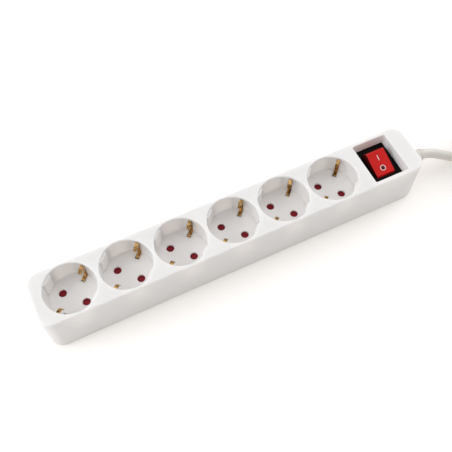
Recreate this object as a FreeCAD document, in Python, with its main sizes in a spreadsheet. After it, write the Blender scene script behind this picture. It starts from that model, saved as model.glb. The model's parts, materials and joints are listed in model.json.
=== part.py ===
"""Six-way power strip with earthed sockets, a sunk double-pole rocker switch and a mains lead.

The strip lies along X with its cord leaving at +X. Z = 0 is the underside of the base plate, and the
origin is the middle of the underside. All sizes are in millimetres and come from the sheet "sizes".
"""
import FreeCAD, Part
import math
import os
import re

import Sketcher
from FreeCAD import Placement, Rotation, Vector

SIZES = {
    # housing
    "length": 310.0,
    "width": 43.0,
    "height": 42.0,
    "corner": 9.5,
    "skin": 2.0,
    "edge_round": 1.1,
    "seam": 2.0,
    "seam_inset": 0.5,
    "lip_top": 5.0,
    "lip_skin": 1.2,
    "fit_gap": 0.15,
    # sockets
    "first_socket": -127.5,
    "pitch": 42.2,
    "cup": 19.5,
    "cup_blank": 21.0,
    "cup_floor": 24.5,
    "floor_skin": 1.8,
    "cup_fillet": 1.0,
    "rim_round": 0.7,
    "pin_side": 6.72,
    "pin_hole": 3.0,
    "guide_face": 17.9,
    "guide_width": 9.0,
    "guide_top": 40.3,
    "guide_round": 0.8,
    # screws and bosses
    "boss_end": 147.5,
    "boss_mid": 22.0,
    "boss_side": 14.6,
    "boss": 3.5,
    "boss_foot": 5.2,
    "pilot": 1.25,
    "pilot_top": 16.0,
    "screw_hole": 1.7,
    "screw_head": 2.8,
    "screw_seat": 2.6,
    # inner frame and shutters
    "deck": 18.0,
    "deck_top": 19.6,
    "deck_side": 18.9,
    "deck_left": 143.4,
    "deck_right": 106.0,
    "axle": 2.0,
    "axle_top": 22.5,
    "shutter_low": 20.5,
    "shutter_top": 22.4,
    "shutter_reach": 13.2,
    "shutter_hub": 5.0,
    "shutter_sweep": 44.0,
    "running": 0.05,
    "spring_wire": 0.25,
    "spring_ring": 2.75,
    # contact rails
    "brass": 0.8,
    "rail_low": 3.4,
    "rail_top": 9.4,
    "fork_top": 16.8,
    "fork_throat": 14.0,
    "fork_waist": 9.0,
    "fork_side": 3.3,
    "fork_length": 8.0,
    "throat": 2.1,
    "rail_right": 104.0,
    "earth_half": 2.0,
    "earth_low": 12.6,
    # earth clips
    "clip_foot": 14.2,
    "clip_wall": 19.05,
    "clip_top": 40.4,
    "clip_hook": 15.5,
    "clip_hook_z": 38.6,
    "clip_tip": 14.0,
    "clip_tip_z": 35.4,
    "clip_width": 2.8,
    "clip_thick": 0.6,
    "clip_bend": 0.8,
    "slit_half": 0.8,
    "slit_gap": 0.3,
    # switch
    "switch_x": 126.0,
    "pocket_long": 29.2,
    "pocket_wide": 36.0,
    "bezel_long": 27.0,
    "bezel_wide": 33.8,
    "bezel_top": 34.0,
    "shelf": 32.0,
    "shelf_skin": 2.0,
    "well_x": 8.3,
    "well_y": 11.9,
    "case_x": 10.0,
    "case_y": 14.0,
    "case_low": 11.0,
    "case_floor": 12.4,
    "pivot_z": 32.2,
    "rocker_tilt": 17.0,
    "rocker_reach": 11.55,
    "rocker_rise": 6.3,
    "rocker_drop": 3.0,
    "rocker_half": 8.0,
    "rocker_wall": 1.25,
    "mark_line": 0.3,
    "mark_round": 2.3,
    "mark_stroke": 0.55,
    "mark_y": 4.5,
    "rocker_dish": 120.0,
    "trunnion": 1.25,
    "pole_x": 4.2,
    "tube": 2.2,
    "tube_drop": 8.0,
    "plunger": 1.2,
    "plunger_drop": 13.3,
    "lamp_long": 9.0,
    "coil_ring": 0.9,
    "coil_wire": 0.2,
    "seesaw_z": 17.6,
    "seesaw_tilt": 8.0,
    "blade_low": 4.5,
    # cord
    "cord": 4.0,
    "exit_z": 20.0,
    "gland_end": 171.0,
    "tail_in": 143.5,
    "slot": 5.5,
    "clamp_x": 148.0,
    "clamp_long": 4.4,
    "clamp_wide": 9.4,
    "clamp_screw": 7.0,
    "clamp_thread": 8.0,
    "clamp_top": 26.0,
    "gland_collar": 7.0,
    "gland_flange": 6.9,
    "gland_root": 6.2,
    "gland_tip": 4.7,
    "gland_step": 3.1,
    "gland_taper": 0.33,
    "wire": 1.5,
    # plug
    "plug_x": 437.5,
    "plug_y": -25.6,
    "plug_grip": 18.8,
    "plug_neck": 15.0,
    "plug_front": 18.25,
    "plug_face": 33.0,
    "plug_bridge": 14.0,
    "boot_start": 399.5,
    "boot_z": 10.2,
    "pin": 2.4,
    "pin_apart": 19.0,
    "pin_long": 19.0,
}

doc = FreeCAD.newDocument("power_strip")
sheet = doc.addObject("Spreadsheet::Sheet", "sizes")
NODES = []


def fill_sheet():
    """One row per driving size: its word in column A, its number in column B."""
    for row, (word, value) in enumerate(SIZES.items(), 1):
        sheet.set(f"A{row}", word)
        sheet.set(f"B{row}", str(value))
        sheet.setAlias(f"B{row}", word)
    doc.recompute()


def formula(text):
    """An expression for the document: each size word gets the sheet's name in front."""
    return re.sub(r"[a-z_]+", lambda m: "sizes." + m.group() if m.group() in SIZES else m.group(), str(text))


def size(text):
    """The value of a sum of sheet words, for what takes a plain number."""
    value = sheet.evalExpression(formula(text))
    return float(value)


def bind(obj, **cells):
    """Binds properties to expressions; a double underscore in a name stands for a dot."""
    for name, text in cells.items():
        obj.setExpression(name.replace("__", "."), formula(text))
    return obj


def place(obj, x=0, y=0, z=0):
    """Binds where an object stands."""
    return bind(obj, Placement__Base__x=x, Placement__Base__y=y, Placement__Base__z=z)


def block(name, x, y, z):
    """A box between low and high expressions along each axis."""
    obj = doc.addObject("Part::Box", name)
    bind(
        obj,
        Length=f"({x[1]}) - ({x[0]})",
        Width=f"({y[1]}) - ({y[0]})",
        Height=f"({z[1]}) - ({z[0]})",
    )
    return place(obj, x[0], y[0], z[0])


def post(name, radius, x, y, z):
    """An upright cylinder between two heights."""
    obj = doc.addObject("Part::Cylinder", name)
    bind(obj, Radius=radius, Height=f"({z[1]}) - ({z[0]})")
    return place(obj, x, y, z[0])


def bar(name, radius, x, y, z):
    """A cylinder along X between two expressions."""
    obj = doc.addObject("Part::Cylinder", name)
    bind(obj, Radius=radius, Height=f"({x[1]}) - ({x[0]})")
    obj.Placement.Rotation = Rotation(Vector(0, 1, 0), 90)
    return place(obj, x[0], y, z)


def group(name, items):
    """Several shapes side by side, as one tool or one node of separate solids."""
    obj = doc.addObject("Part::Compound", name)
    obj.Links = items
    return obj


def fuse(name, items):
    obj = doc.addObject("Part::MultiFuse", name)
    obj.Shapes = items
    return obj


def cut(name, base, tools):
    obj = doc.addObject("Part::Cut", name)
    obj.Base = base
    obj.Tool = tools[0] if len(tools) == 1 else group(name + "_tools", tools)
    return obj


def common(name, base, tool):
    obj = doc.addObject("Part::Common", name)
    obj.Base = base
    obj.Tool = tool
    return obj


def rounded(name, base, radius, wanted):
    """A fillet of one radius on the edges that the test picks."""
    doc.recompute()
    obj = doc.addObject("Part::Fillet", name)
    obj.Base = base
    value = size(radius)
    picked = [i for i, edge in enumerate(base.Shape.Edges, 1) if wanted(edge)]
    obj.Edges = [(i, value, value) for i in picked]
    return obj


def upright(edge):
    """A straight edge along Z."""
    ends = [v.Point for v in edge.Vertexes]
    return len(ends) == 2 and math.hypot(ends[0].x - ends[1].x, ends[0].y - ends[1].y) < 0.001


def level(height):
    """A test for the edges that lie at one height."""
    return lambda edge: all(abs(v.Z - height) < 0.001 for v in edge.Vertexes) and (
        abs(edge.BoundBox.ZLength) < 0.001
    )


def turned(obj, angle, centre=(0, 0, 0), axis=(0, 0, 1)):
    """Turns a placed object about an axis through a point, and drops its place expressions."""
    doc.recompute()
    for part in ("x", "y", "z"):
        obj.setExpression(f"Placement.Base.{part}", None)
    turn = Placement(Vector(0, 0, 0), Rotation(Vector(*axis), angle), Vector(*centre))
    obj.Placement = turn.multiply(obj.Placement)
    return obj


def node(obj, label):
    """Names a finished sub-part."""
    obj.Label = label
    NODES.append(obj)
    return obj


def body(label):
    obj = doc.addObject("PartDesign::Body", label + "_body")
    return node(obj, label)


def sketch(owner, role, name, offset="0"):
    """A sketch on one of a body's own origin planes, moved along the plane's normal."""
    obj = owner.newObject("Sketcher::SketchObject", name)
    plane = next(o for o in owner.Origin.OriginFeatures if o.Role == role)
    obj.AttachmentSupport = (plane, [""])
    obj.MapMode = "FlatFace"
    obj.setExpression("AttachmentOffset.Base.z", formula(offset))
    return obj


def outline(drawing, corners):
    """A closed outline through corners given as pairs of expressions."""
    values = [Vector(size(u), size(v), 0) for u, v in corners]
    first = drawing.GeometryCount
    count = len(values)
    for i in range(count):
        drawing.addGeometry(Part.LineSegment(values[i], values[(i + 1) % count]))
    for i in range(count):
        drawing.addConstraint(Sketcher.Constraint("Coincident", first + i, 2, first + (i + 1) % count, 1))
    for i, (u, v) in enumerate(corners):
        for kind, text, value in (("DistanceX", u, values[i].x), ("DistanceY", v, values[i].y)):
            index = drawing.addConstraint(Sketcher.Constraint(kind, -1, 1, first + i, 1, value))
            drawing.setExpression(f"Constraints[{index}]", formula(text))


def ring(drawing, radius, u, v):
    """A circle with its centre and radius bound."""
    index = drawing.addGeometry(Part.Circle(Vector(size(u), size(v), 0), Vector(0, 0, 1), size(radius)))
    bound = (
        (Sketcher.Constraint("Radius", index, size(radius)), radius),
        (Sketcher.Constraint("DistanceX", -1, 1, index, 3, size(u)), u),
        (Sketcher.Constraint("DistanceY", -1, 1, index, 3, size(v)), v),
    )
    for constraint, text in bound:
        drawing.setExpression(f"Constraints[{drawing.addConstraint(constraint)}]", formula(text))


def pad(owner, drawing, length, midplane=False):
    obj = owner.newObject("PartDesign::Pad", drawing.Name + "_pad")
    obj.Profile = drawing
    obj.SideType = "Symmetric" if midplane else "One side"
    obj.setExpression("Length", formula(length))
    doc.recompute()
    return obj


def pocket(owner, drawing, length):
    """A pocket down from a sketch, which has to take material away."""
    before = owner.Shape.Volume
    obj = owner.newObject("PartDesign::Pocket", drawing.Name + "_pocket")
    obj.Profile = drawing
    obj.setExpression("Length", formula(length))
    doc.recompute()
    taken = before - owner.Shape.Volume
    if taken < 1:
        raise RuntimeError(f"{obj.Name} took only {taken:.2f} mm3")
    print(obj.Name, "took", round(taken, 1), "mm3")
    return obj


def revolve(owner, drawing, axis="V_Axis"):
    obj = owner.newObject("PartDesign::Revolution", drawing.Name + "_turned")
    obj.Profile = drawing
    obj.ReferenceAxis = (drawing, [axis])
    obj.Angle = 360
    doc.recompute()
    return obj


def socket_x(i):
    """The middle of socket i along X."""
    return f"first_socket + {i} * pitch"


SOCKETS = range(6)
EARTH_TURNS = (45, 225)
PIN_TURNS = (-45, 135)


def shell_block(name, inset, low, high, radius):
    """A block with the housing's plan, inset all round, with rounded upright edges."""
    x = f"length / 2 - ({inset})"
    y = f"width / 2 - ({inset})"
    plain = block(name + "_plain", (f"-({x})", x), (f"-({y})", y), (low, high))
    return rounded(name, plain, radius, upright)


def boss_spots():
    """The screw places as pairs of expressions."""
    columns = ("-boss_end", "-boss_mid", "boss_end")
    return [(x, f"{sign} * boss_side") for x in columns for sign in (-1, 1)]


def boss_posts(name, radius, z):
    """One upright cylinder at each screw place."""
    return [post(f"{name}_{k}", radius, x, y, z) for k, (x, y) in enumerate(boss_spots())]


def drafted_pocket():
    """The tool for the switch pocket: its walls lean out towards the top."""
    wedge = doc.addObject("Part::Wedge", "pocket_wedge")
    half = {"bottom": ("bezel_long / 2", "bezel_wide / 2"), "top": ("pocket_long / 2", "pocket_wide / 2")}
    bind(
        wedge,
        Xmin=f"-({half['bottom'][0]})",
        Xmax=half["bottom"][0],
        Zmin=f"-({half['bottom'][1]})",
        Zmax=half["bottom"][1],
        Ymin="0",
        Ymax="height - bezel_top",
        X2min=f"-({half['top'][0]})",
        X2max=half["top"][0],
        Z2min=f"-({half['top'][1]})",
        Z2max=half["top"][1],
    )
    doc.recompute()
    wedge.Placement = Placement(Vector(size("switch_x"), 0, size("bezel_top")), Rotation(Vector(1, 0, 0), 90))
    soft = rounded("pocket_lean", wedge, "1.2", lambda edge: edge.BoundBox.ZLength > 1)
    seat = block(
        "pocket_seat",
        ("switch_x - bezel_long / 2", "switch_x + bezel_long / 2"),
        ("-bezel_wide / 2", "bezel_wide / 2"),
        ("shelf", "bezel_top"),
    )
    aperture = block(
        "pocket_aperture",
        ("switch_x - case_x - 2 * fit_gap", "switch_x + case_x + 2 * fit_gap"),
        ("-case_y - 2 * fit_gap", "case_y + 2 * fit_gap"),
        ("shelf - 2 * shelf_skin", "shelf + 1"),
    )
    mouth = block(
        "pocket_mouth",
        ("switch_x - pocket_long / 2 + rim_round", "switch_x + pocket_long / 2 - rim_round"),
        ("-pocket_wide / 2 + rim_round", "pocket_wide / 2 - rim_round"),
        ("height - 1", "height + 1"),
    )
    return [soft, rounded("pocket_seat_soft", seat, "1.1", upright), aperture, mouth]


def guide_rib(i, angle):
    """The raised land on a recess wall, in line with the pins, that keeps a wrong plug out."""
    x = socket_x(i)
    land = block(
        f"guide_{i}_{angle}".replace("-", "m"),
        (f"{x} + guide_face", f"{x} + cup_blank - 0.4"),
        ("-guide_width / 2", "guide_width / 2"),
        ("cup_floor - 0.5", "guide_top"),
    )
    face = size(f"{x} + guide_face")
    soft = rounded(
        land.Name + "_soft",
        land,
        "guide_round",
        lambda edge: all(abs(v.X - face) < 0.001 for v in edge.Vertexes)
        and edge.CenterOfMass.z > size("cup_floor"),
    )
    return turned(soft, angle, (size(x), 0, 0))


def clip_slot(i, angle):
    """The slot in a recess floor that an earth clip rises through."""
    x = socket_x(i)
    slot = block(
        f"clip_slot_{i}_{angle}",
        (f"{x} + clip_foot - slit_half", f"{x} + clip_foot + slit_half"),
        ("-clip_width / 2 - slit_gap", "clip_width / 2 + slit_gap"),
        ("cup_floor - 2 * floor_skin", "cup_floor + 0.5"),
    )
    return turned(slot, angle, (size(x), 0, 0))


def top_cover():
    """The upper shell with its six recesses, the switch pocket and the screw bosses."""
    skin = shell_block("cover_skin", "0", "seam", "height", "corner")
    skin = rounded("cover_edge", skin, "edge_round", level(size("height")))
    hollow = shell_block("cover_hollow", "skin", "seam - 1", "height - skin", "corner - skin")
    shell = cut("cover_shell", skin, [hollow])
    inner_top = "height - skin / 2"
    blanks = [
        post(f"cup_blank_{i}", "cup_blank", socket_x(i), "0", ("cup_floor - floor_skin", inner_top))
        for i in SOCKETS
    ]
    pocket_blank = block(
        "pocket_blank",
        ("switch_x - pocket_long / 2 - skin", "switch_x + pocket_long / 2 + skin"),
        ("-width / 2 + skin / 2", "width / 2 - skin / 2"),
        ("shelf - shelf_skin", inner_top),
    )
    bosses = boss_posts("boss", "boss", ("boss_foot", inner_top))
    solid = fuse("cover_solid", [shell, pocket_blank] + blanks + bosses)
    cups = []
    for i in SOCKETS:
        plain = post(f"cup_{i}", "cup", socket_x(i), "0", ("cup_floor", "height + 1"))
        cups.append(rounded(f"cup_soft_{i}", plain, "cup_fillet", level(size("cup_floor"))))
    pins = [
        post(
            f"pin_hole_{i}_{side}".replace("-", "m"),
            "pin_hole",
            f"{socket_x(i)} + {side} * pin_side",
            f"{-side} * pin_side",
            ("cup_floor - 2 * floor_skin", "cup_floor + 1"),
        )
        for i in SOCKETS
        for side in (-1, 1)
    ]
    slots = [clip_slot(i, angle) for i in SOCKETS for angle in EARTH_TURNS]
    pilots = boss_posts("pilot", "pilot", ("boss_foot - 1", "pilot_top"))
    through = ("length / 2 - 2 * skin", "length / 2 + 1")
    gate = block("gland_gate", through, ("-slot", "slot"), ("seam - 1", "exit_z"))
    arch = bar("gland_arch", "slot", through, "0", "exit_z")
    opened = cut("cover_opened", solid, cups + pins + slots + pilots + [gate, arch] + drafted_pocket())
    guides = [guide_rib(i, angle) for i in SOCKETS for angle in PIN_TURNS]
    whole = fuse("cover_whole", [opened] + guides)
    top = size("height")

    def rim(edge):
        is_cup = isinstance(edge.Curve, Part.Circle) and abs(edge.Curve.Radius - size("cup")) < 0.001
        return is_cup and level(top)(edge)

    return node(rounded("cover_done", whole, "rim_round", rim), "top_cover")


def base_plate():
    """The lower shell: a plate with a lip that locates the cover, screw seats and rail holders."""
    plate = shell_block("base_skin", "seam_inset", "0", "seam", "corner - seam_inset")
    plate = rounded("base_edge", plate, "0.6", level(0))
    lip_inset = "skin + fit_gap"
    lip_corner = "corner - skin - fit_gap"
    lip_out = shell_block("lip_out", lip_inset, "seam - 0.5", "lip_top", lip_corner)
    inner_inset, inner_corner = lip_inset + " + lip_skin", lip_corner + " - lip_skin"
    lip_in = shell_block("lip_in", inner_inset, "seam - 1", "lip_top + 1", inner_corner)
    lip = cut("lip", lip_out, [lip_in])
    seats = boss_posts("seat", "boss + 0.5", ("seam - 1", "lip_top"))
    holders = [
        block(
            f"holder_{i}",
            (f"{socket_x(i)} + pitch / 2 - 0.8", f"{socket_x(i)} + pitch / 2 + 0.8"),
            ("-pin_side - 4.2", "pin_side + 4.2"),
            ("seam - 0.5", "rail_low + 4"),
        )
        for i in range(5)
    ]
    cradle = block(
        "cradle",
        ("clamp_x - clamp_long / 2 - 0.3", "clamp_x + clamp_long / 2 + 0.3"),
        ("-clamp_wide", "clamp_wide"),
        ("seam - 0.5", "exit_z - 0.4"),
    )
    tongue = block(
        "tongue",
        ("length / 2 - skin", "length / 2"),
        ("-slot + fit_gap", "slot - fit_gap"),
        ("seam - 0.5", "exit_z - 1"),
    )
    solid = fuse("base_solid", [plate, lip, cradle, tongue] + seats + holders)
    holes = boss_posts("hole", "screw_hole", ("-1", "lip_top + 1"))
    heads = boss_posts("head", "screw_head + 0.3", ("-1", "screw_seat"))
    grooves = [
        block(
            f"rail_groove_{side}".replace("-", "m"),
            ("-140", "rail_right + 2"),
            (f"{side} * (pin_side + 2.9) - 0.55", f"{side} * (pin_side + 2.9) + 0.55"),
            ("rail_low", "rail_top"),
        )
        for side in (-1, 1)
    ]
    under_clamp = ("clamp_x - 2 * clamp_long", "clamp_x + clamp_long")
    saddle = bar("saddle", "cord + running", under_clamp, "0", "exit_z")
    collar = bar("tongue_round", "slot", ("length / 2 - 2 * skin", "length / 2 + 1"), "0", "exit_z")
    threads = [
        post(f"clamp_thread_{k}", "pilot", "clamp_x", f"{s} * clamp_screw", ("clamp_thread", "exit_z"))
        for k, s in enumerate((-1, 1))
    ]
    return node(cut("base_done", solid, holes + heads + grooves + [saddle, collar] + threads), "base_plate")


def screw_body(label, spots, low, head, shank, reach, up):
    """A pan-head screw turned once and copied to each spot, all in one node."""
    master = doc.addObject("PartDesign::Body", label + "_master")
    drawing = sketch(master, "XZ_Plane", label + "_half")
    way = 1 if up else -1
    outline(
        drawing,
        [
            ("0", "0"),
            (head, "0"),
            (head, f"{way} * 1.2"),
            (f"{head} - 0.7", f"{way} * 2"),
            (shank, f"{way} * 2"),
            (shank, f"{way} * ({reach} - 1.5)"),
            ("0.35", f"{way} * {reach}"),
            ("0", f"{way} * {reach}"),
        ],
    )
    revolve(master, drawing)
    doc.recompute()
    depth = (f"{way} * 0.45 - 0.45", f"{way} * 0.45 + 0.45")
    drive = block(label + "_slot", ("-1.8", "1.8"), ("-0.35", "0.35"), depth)
    single = cut(label + "_single", master, [drive])
    doc.recompute()
    placed = []
    for x, y in spots:
        copy = doc.addObject("Part::Compound", label + "_at")
        copy.Links = [single]
        placed.append(place(copy, x, y, low))
    return node(group(label + "_set", placed), label)


def inner_frame():
    """The insert under the recesses: it carries the shutters and keeps the contacts in place."""
    frame = body("inner_frame")
    left, right = "-deck_left", "deck_right"
    deck = sketch(frame, "XY_Plane", "deck_plan", "deck")
    outline(deck, [(left, "-deck_side"), (right, "-deck_side"), (right, "deck_side"), (left, "deck_side")])
    pad(frame, deck, "deck_top - deck")
    walls = sketch(frame, "XY_Plane", "deck_walls", "lip_top + 0.5")
    for side in (-1, 1):
        outline(
            walls,
            [
                (left, f"{side} * deck_side"),
                (right, f"{side} * deck_side"),
                (right, f"{side} * (deck_side - 1)"),
                (left, f"{side} * (deck_side - 1)"),
            ],
        )
    pad(frame, walls, "deck - lip_top")
    holes = sketch(frame, "XY_Plane", "deck_holes", "deck_top + 1")
    for i in SOCKETS:
        for side in (-1, 1):
            ring(holes, "pin_hole + 0.4", f"{socket_x(i)} + {side} * pin_side", f"{-side} * pin_side")
    pocket(frame, holes, "deck_top - deck + 2")
    notches = sketch(frame, "XY_Plane", "deck_notches", "deck_top + 1")
    for x in ("-boss_mid", "boss_mid"):
        for side in (-1, 1):
            inner, outer = f"{side} * (boss_side - boss - 0.4)", f"{side} * (deck_side + 1)"
            low, high = f"{x} - boss - 0.4", f"{x} + boss + 0.4"
            outline(notches, [(low, inner), (high, inner), (high, outer), (low, outer)])
    pocket(frame, notches, "deck_top + 1")
    axles = sketch(frame, "XY_Plane", "axle_plan", "deck_top - 0.5")
    for i in SOCKETS:
        ring(axles, "axle", socket_x(i), "0")
    pad(frame, axles, "axle_top - deck_top + 0.5")
    slits = sketch(frame, "XY_Plane", "deck_slits", "deck_top + 1")
    for i in SOCKETS:
        for side in (-1, 1):
            outline(slits, slit_corners(i, side))
    pocket(frame, slits, "deck_top - deck + 2")
    return frame


def slit_corners(i, side):
    """The corners of the slit for one arm of an earth bow, on the diagonal of socket i."""
    diagonal = math.sqrt(0.5)
    corners = []
    for along, across in ((-1, -1), (1, -1), (1, 1), (-1, 1)):
        reach = f"{side} * (clip_foot + ({along}) * slit_half)"
        aside = f"({across}) * (clip_width / 2 + slit_gap)"
        corners.append(
            (f"{socket_x(i)} + {diagonal} * ({reach} - {aside})", f"{diagonal} * ({reach} + {aside})")
        )
    return corners


def shutter(i):
    """A two-winged shutter: it covers both pin holes and turns about the socket's middle."""
    x = socket_x(i)
    wings = []
    for k, angle in enumerate(PIN_TURNS):
        wing = doc.addObject("Part::Cylinder", f"wing_{i}_{k}")
        bind(wing, Radius="shutter_reach", Height="shutter_top - shutter_low", Angle="shutter_sweep")
        place(wing, x, "0", "shutter_low")
        wings.append(turned(wing, angle - size("shutter_sweep") / 2, (size(x), 0, 0)))
    hub = post(f"hub_{i}", "shutter_hub", x, "0", ("shutter_low", "shutter_top"))
    solid = fuse(f"shutter_solid_{i}", wings + [hub])
    eye = post(f"eye_{i}", "axle + running", x, "0", ("shutter_low - 1", "shutter_top + 1"))
    seat = post(f"spring_seat_{i}", "spring_ring + 1", x, "0", ("shutter_low - 1", "shutter_low + 0.8"))
    return node(cut(f"shutter_done_{i}", solid, [eye, seat]), f"shutter_{i + 1}")


def coil_spring(name, ring_radius, wire, x, y, low, turns):
    """A close-wound spring as a stack of rings that run into each other."""
    rings = []
    for k in range(turns):
        torus = doc.addObject("Part::Torus", f"{name}_{k}")
        bind(torus, Radius1=ring_radius, Radius2=wire)
        rings.append(place(torus, x, y, f"{low} + {wire} + {k} * 1.7 * {wire}"))
    return fuse(name, rings)


def shutter_springs():
    coils = [
        coil_spring(f"shutter_coil_{i}", "spring_ring", "spring_wire", socket_x(i), "0", "deck_top + 0.02", 3)
        for i in SOCKETS
    ]
    return node(group("shutter_coils", coils), "shutter_springs")


def rail(label, side):
    """A contact rail: a strip on edge with a sprung fork under each pin hole of one row."""
    strip = body(label)
    line = f"{side} * pin_side"
    first = f"first_socket - {side} * pin_side"
    fork = sketch(strip, "YZ_Plane", label + "_fork", first)
    wall, flare = "fork_side - brass", "throat + 0.7"
    half = [
        ("fork_side", "rail_low"),
        ("fork_side", "fork_waist"),
        ("throat + brass", "fork_throat"),
        (f"{flare} + brass", "fork_top"),
        (flare, "fork_top"),
        ("throat", "fork_throat"),
        (wall, "fork_waist"),
        (wall, "rail_low + brass"),
    ]
    corners = [(f"{line} + ({u})", v) for u, v in half] + [(f"{line} - ({u})", v) for u, v in reversed(half)]
    outline(fork, corners)
    lobe = pad(strip, fork, "fork_length", midplane=True)
    row = strip.newObject("PartDesign::LinearPattern", label + "_row")
    row.Originals = [lobe]
    row.Direction = (fork, ["N_Axis"])
    row.Mode = "Spacing"
    row.Offset = size("pitch")
    row.setExpression("Offset", formula("pitch"))
    row.Occurrences = 6
    strip.Tip = row
    doc.recompute()
    spine = sketch(strip, "YZ_Plane", label + "_spine", first)
    far, near = f"{side} * (pin_side + fork_side)", f"{side} * (pin_side + fork_side - brass)"
    outline(spine, [(far, "rail_low"), (far, "rail_top"), (near, "rail_top"), (near, "rail_low")])
    pad(strip, spine, f"rail_right - ({first})")
    return strip


def earth_rail():
    """The flat earth strip in the middle, which the earth bows stand on."""
    strip = body("earth_rail")
    plan = sketch(strip, "XY_Plane", "earth_plan", "earth_low")
    outline(
        plan,
        [
            ("first_socket - 4", "-earth_half"),
            ("rail_right + 1", "-earth_half"),
            ("rail_right + 1", "earth_half"),
            ("first_socket - 4", "earth_half"),
        ],
    )
    pad(strip, plan, "brass")
    return strip


def bent_side(line, bend, shift):
    """One face of a bent strip: its two ends and, for each bend, the arc's start, middle and end."""
    first, last = (line[1] - line[0]).normalize(), (line[-1] - line[-2]).normalize()
    spots = [line[0] + Vector(-first.y, first.x, 0) * shift]
    for before, point, after in zip(line, line[1:], line[2:]):
        into, out = (point - before).normalize(), (after - point).normalize()
        way = math.copysign(1, into.x * out.y - into.y * out.x)
        facing, leaving = Vector(-into.y, into.x, 0), Vector(-out.y, out.x, 0)
        centre = point - into * bend * math.tan(into.getAngle(out) / 2) + facing * way * bend
        for normal in (facing, (facing + leaving).normalize(), leaving):
            spots.append(centre + normal * (shift - way * bend))
    return spots + [line[-1] + Vector(-last.y, last.x, 0) * shift]


def bent_strip(drawing, line, bend, thick):
    """Draws the edge view of a strip that follows a line with tangent bends of one radius."""
    there, back = bent_side(line, bend, thick / 2), bent_side(line, bend, -thick / 2)[::-1]
    for face, onward in ((there, back[0]), (back, there[0])):
        drawing.addGeometry(Part.LineSegment(face[0], face[1]))
        for k in range(1, len(face) - 1, 3):
            drawing.addGeometry(Part.Arc(*face[k : k + 3]))
            drawing.addGeometry(Part.LineSegment(face[k + 2], face[k + 3]))
        drawing.addGeometry(Part.LineSegment(face[-1], onward))


def earth_clip(i):
    """A U-shaped earth bow: each arm rises through the floor, runs out to the wall, climbs and hooks back."""
    half, play = size("clip_thick / 2"), size("running")
    base, floor = size("earth_low + brass") + half, size("cup_floor") + half + play
    foot, wall = size("clip_foot"), size("clip_wall")
    arm = [(foot, base), (foot, floor), (wall, floor), (wall, size("clip_top"))]
    arm += [(size("clip_hook"), size("clip_hook_z")), (size("clip_tip"), size("clip_tip_z"))]
    line = [Vector(-x, z, 0) for x, z in reversed(arm)] + [Vector(x, z, 0) for x, z in arm]
    bow = body(f"earth_clip_{i + 1}")
    side = sketch(bow, "XZ_Plane", f"clip_side_{i + 1}")
    bent_strip(side, line, size("clip_bend"), size("clip_thick"))
    pad(bow, side, "clip_width", midplane=True)
    bow.Placement = Placement(Vector(size(socket_x(i)), 0, 0), Rotation(Vector(0, 0, 1), EARTH_TURNS[0]))
    return bow


def switch_frame():
    """The black frame: a bezel on the pocket's shelf with an open case below it."""
    x = "switch_x"
    plate = block(
        "bezel_plain",
        (f"{x} - bezel_long / 2 + running", f"{x} + bezel_long / 2 - running"),
        ("-bezel_wide / 2 + running", "bezel_wide / 2 - running"),
        ("shelf", "bezel_top"),
    )
    plate = rounded("bezel_corners", plate, "1.1", upright)
    plate = rounded("bezel_edge", plate, "0.4", level(size("bezel_top")))
    case = block(
        "case_plain", (f"{x} - case_x", f"{x} + case_x"), ("-case_y", "case_y"), ("case_low", "shelf + 0.5")
    )
    well = block(
        "well", (f"{x} - well_x", f"{x} + well_x"), ("-well_y", "well_y"), ("case_floor", "bezel_top + 1")
    )
    bearing = bar(
        "bearing", "trunnion + running", (f"{x} - well_x - 1.2", f"{x} + well_x + 1.2"), "0", "pivot_z"
    )
    slots = [
        block(
            f"blade_slot_{k}",
            (f"{x} + {side} * pole_x - 2.5", f"{x} + {side} * pole_x + 2.5"),
            (f"{y} - 0.5", f"{y} + 0.5"),
            ("case_low - 1", "case_floor + 1"),
        )
        for k, (side, y) in enumerate((s, y) for s in (-1, 1) for y in (0, -7))
    ]
    solid = fuse("frame_solid", [plate, case])
    return node(cut("frame_done", solid, [well, bearing] + slots), "switch_frame")


def tilted(obj):
    """Turns a piece of the rocker from its level place to the OFF place: the near end is down."""
    return turned(obj, size("rocker_tilt"), (size("switch_x"), 0, size("pivot_z")), (1, 0, 0))


def rocker_marks(name):
    """The on and off marks, let into the rocker's face while it is level."""
    x = "switch_x"
    low, high = "pivot_z + rocker_rise - 0.8", "pivot_z + rocker_rise - 0.15"
    across, along = (f"{x} - mark_line", f"{x} + mark_line"), ("mark_y - 2.4", "mark_y + 2")
    line = block(name + "_line", across, along, (low, high))
    disc = post(name + "_round", "mark_round", x, "-mark_y", (low, high))
    hole = post(name + "_hole", "mark_round - mark_stroke", x, "-mark_y", (low + " - 1", high + " + 1"))
    return group(name, [line, cut(name + "_ring", disc, [hole])])


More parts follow.
